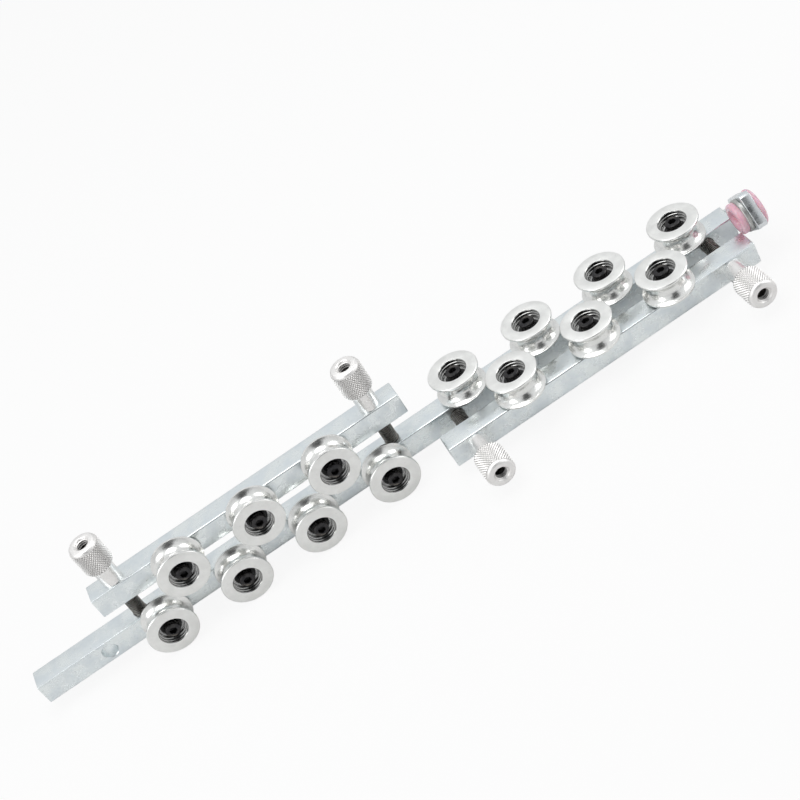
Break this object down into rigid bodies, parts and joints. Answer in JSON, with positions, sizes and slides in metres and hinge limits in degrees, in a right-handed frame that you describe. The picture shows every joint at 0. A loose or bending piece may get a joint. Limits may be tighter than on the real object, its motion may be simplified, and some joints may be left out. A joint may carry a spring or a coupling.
{
  "type": "wire straightener",
  "caption": "Two-plane wire straightener: staggered grooved rollers on a long square bar and on two short moving bars set by knurled nuts, with a ceramic entry eyelet.",
  "frame": {"origin": "centre of the tail hole, on the axis of the fixed square bar", "axes": "+X runs along the fixed bar towards the eyelet; the exit stage's moving bar stands above the fixed bar along +Z, with its roller axes along -Y; the entry stage's moving bar stands in front along -Y, with its roller axes along +Z"},
  "size_m": [0.3415, 0.0591, 0.0591],
  "materials": {
    "bar": "bright zinc plating, drawn square bar",
    "roller": "turned, hardened and plated steel",
    "seal": "bearing ring with black rubber seals",
    "bearing_steel": "ground bearing steel",
    "spacer": "turned steel",
    "black_fastener": "black oxide, oiled",
    "knob": "diamond knurled, nickel plated",
    "fitting": "bright zinc plating",
    "ceramic": "pink sintered ceramic, polished"
  },
  "bodies": {
    "bar": {"fixed_bar": "bar", "adjusting_studs": "black_fastener", "roller_screws_fixed": "black_fastener", "spacers_fixed": "spacer", "inner_rings_fixed": "bearing_steel", "balls_fixed": "bearing_steel", "eyelet_bracket": "fitting", "bracket_screw": "black_fastener", "eyelet_collar": "fitting", "eyelet_bell": "ceramic", "eyelet_flange": "ceramic"},
    "exit_slide": {"exit_slide_bar": "bar", "roller_screws_exit_slide": "black_fastener", "spacers_exit_slide": "spacer", "inner_rings_exit_slide": "bearing_steel", "balls_exit_slide": "bearing_steel"},
    "entry_slide": {"entry_slide_bar": "bar", "roller_screws_entry_slide": "black_fastener", "spacers_entry_slide": "spacer", "inner_rings_entry_slide": "bearing_steel", "balls_entry_slide": "bearing_steel"},
    "exit_fixed_wheel_1": {"exit_fixed_roller_1": "roller", "exit_fixed_bearing_1": "seal"},
    "exit_fixed_wheel_2": {"exit_fixed_roller_2": "roller", "exit_fixed_bearing_2": "seal"},
    "exit_fixed_wheel_3": {"exit_fixed_roller_3": "roller", "exit_fixed_bearing_3": "seal"},
    "exit_fixed_wheel_4": {"exit_fixed_roller_4": "roller", "exit_fixed_bearing_4": "seal"},
    "exit_slide_wheel_1": {"exit_slide_roller_1": "roller", "exit_slide_bearing_1": "seal"},
    "exit_slide_wheel_2": {"exit_slide_roller_2": "roller", "exit_slide_bearing_2": "seal"},
    "exit_slide_wheel_3": {"exit_slide_roller_3": "roller", "exit_slide_bearing_3": "seal"},
    "entry_fixed_wheel_1": {"entry_fixed_roller_1": "roller", "entry_fixed_bearing_1": "seal"},
    "entry_fixed_wheel_2": {"entry_fixed_roller_2": "roller", "entry_fixed_bearing_2": "seal"},
    "entry_fixed_wheel_3": {"entry_fixed_roller_3": "roller", "entry_fixed_bearing_3": "seal"},
    "entry_fixed_wheel_4": {"entry_fixed_roller_4": "roller", "entry_fixed_bearing_4": "seal"},
    "entry_slide_wheel_1": {"entry_slide_roller_1": "roller", "entry_slide_bearing_1": "seal"},
    "entry_slide_wheel_2": {"entry_slide_roller_2": "roller", "entry_slide_bearing_2": "seal"},
    "entry_slide_wheel_3": {"entry_slide_roller_3": "roller", "entry_slide_bearing_3": "seal"},
    "exit_knob_tail": {"exit_knob_tail": "knob"},
    "exit_knob_mid": {"exit_knob_mid": "knob"},
    "entry_knob_mid": {"entry_knob_mid": "knob"},
    "entry_knob_nose": {"entry_knob_nose": "knob"}
  },
  "joints": [
    {"name": "exit_slide_travel", "type": "slide", "parent": "bar", "child": "exit_slide", "axis": [0, 0, 1], "range_m": [-0.0035, 0.005]},
    {"name": "entry_slide_travel", "type": "slide", "parent": "bar", "child": "entry_slide", "axis": [0, -1, 0], "range_m": [-0.0035, 0.005]},
    {"name": "exit_fixed_wheel_1_spin", "type": "hinge", "parent": "bar", "child": "exit_fixed_wheel_1", "pos_m": [0.0265, -0.0113, 0], "axis": [0, -1, 0], "continuous": true},
    {"name": "exit_fixed_wheel_2_spin", "type": "hinge", "parent": "bar", "child": "exit_fixed_wheel_2", "pos_m": [0.0615, -0.0113, 0], "axis": [0, -1, 0], "continuous": true},
    {"name": "exit_fixed_wheel_3_spin", "type": "hinge", "parent": "bar", "child": "exit_fixed_wheel_3", "pos_m": [0.0965, -0.0113, 0], "axis": [0, -1, 0], "continuous": true},
    {"name": "exit_fixed_wheel_4_spin", "type": "hinge", "parent": "bar", "child": "exit_fixed_wheel_4", "pos_m": [0.1315, -0.0113, 0], "axis": [0, -1, 0], "continuous": true},
    {"name": "exit_slide_wheel_1_spin", "type": "hinge", "parent": "exit_slide", "child": "exit_slide_wheel_1", "pos_m": [0.044, -0.0113, 0.0206], "axis": [0, -1, 0], "continuous": true},
    {"name": "exit_slide_wheel_2_spin", "type": "hinge", "parent": "exit_slide", "child": "exit_slide_wheel_2", "pos_m": [0.079, -0.0113, 0.0206], "axis": [0, -1, 0], "continuous": true},
    {"name": "exit_slide_wheel_3_spin", "type": "hinge", "parent": "exit_slide", "child": "exit_slide_wheel_3", "pos_m": [0.114, -0.0113, 0.0206], "axis": [0, -1, 0], "continuous": true},
    {"name": "entry_fixed_wheel_1_spin", "type": "hinge", "parent": "bar", "child": "entry_fixed_wheel_1", "pos_m": [0.174, 0, 0.0113], "axis": [0, 0, 1], "continuous": true},
    {"name": "entry_fixed_wheel_2_spin", "type": "hinge", "parent": "bar", "child": "entry_fixed_wheel_2", "pos_m": [0.209, 0, 0.0113], "axis": [0, 0, 1], "continuous": true},
    {"name": "entry_fixed_wheel_3_spin", "type": "hinge", "parent": "bar", "child": "entry_fixed_wheel_3", "pos_m": [0.244, 0, 0.0113], "axis": [0, 0, 1], "continuous": true},
    {"name": "entry_fixed_wheel_4_spin", "type": "hinge", "parent": "bar", "child": "entry_fixed_wheel_4", "pos_m": [0.279, 0, 0.0113], "axis": [0, 0, 1], "continuous": true},
    {"name": "entry_slide_wheel_1_spin", "type": "hinge", "parent": "entry_slide", "child": "entry_slide_wheel_1", "pos_m": [0.1915, -0.0206, 0.0113], "axis": [0, 0, 1], "continuous": true},
    {"name": "entry_slide_wheel_2_spin", "type": "hinge", "parent": "entry_slide", "child": "entry_slide_wheel_2", "pos_m": [0.2265, -0.0206, 0.0113], "axis": [0, 0, 1], "continuous": true},
    {"name": "entry_slide_wheel_3_spin", "type": "hinge", "parent": "entry_slide", "child": "entry_slide_wheel_3", "pos_m": [0.2615, -0.0206, 0.0113], "axis": [0, 0, 1], "continuous": true},
    {"name": "exit_knob_tail_turn", "type": "hinge", "parent": "exit_slide", "child": "exit_knob_tail", "pos_m": [0.01875, 0, 0.0356], "axis": [0, 0, 1], "range_deg": [-1261, 1801]},
    {"name": "exit_knob_mid_turn", "type": "hinge", "parent": "exit_slide", "child": "exit_knob_mid", "pos_m": [0.13925, 0, 0.0356], "axis": [0, 0, 1], "range_deg": [-1261, 1801]},
    {"name": "entry_knob_mid_turn", "type": "hinge", "parent": "entry_slide", "child": "entry_knob_mid", "pos_m": [0.16625, -0.0356, 0], "axis": [0, -1, 0], "range_deg": [-1261, 1801]},
    {"name": "entry_knob_nose_turn", "type": "hinge", "parent": "entry_slide", "child": "entry_knob_nose", "pos_m": [0.28675, -0.0356, 0], "axis": [0, -1, 0], "range_deg": [-1261, 1801]}
  ],
  "couplings": [
    {"joint": "exit_knob_tail_turn", "follows": "exit_slide_travel", "rad_per_m": 6283.2},
    {"joint": "exit_knob_mid_turn", "follows": "exit_slide_travel", "rad_per_m": 6283.2},
    {"joint": "entry_knob_mid_turn", "follows": "entry_slide_travel", "rad_per_m": 6283.2},
    {"joint": "entry_knob_nose_turn", "follows": "entry_slide_travel", "rad_per_m": 6283.2}
  ]
}
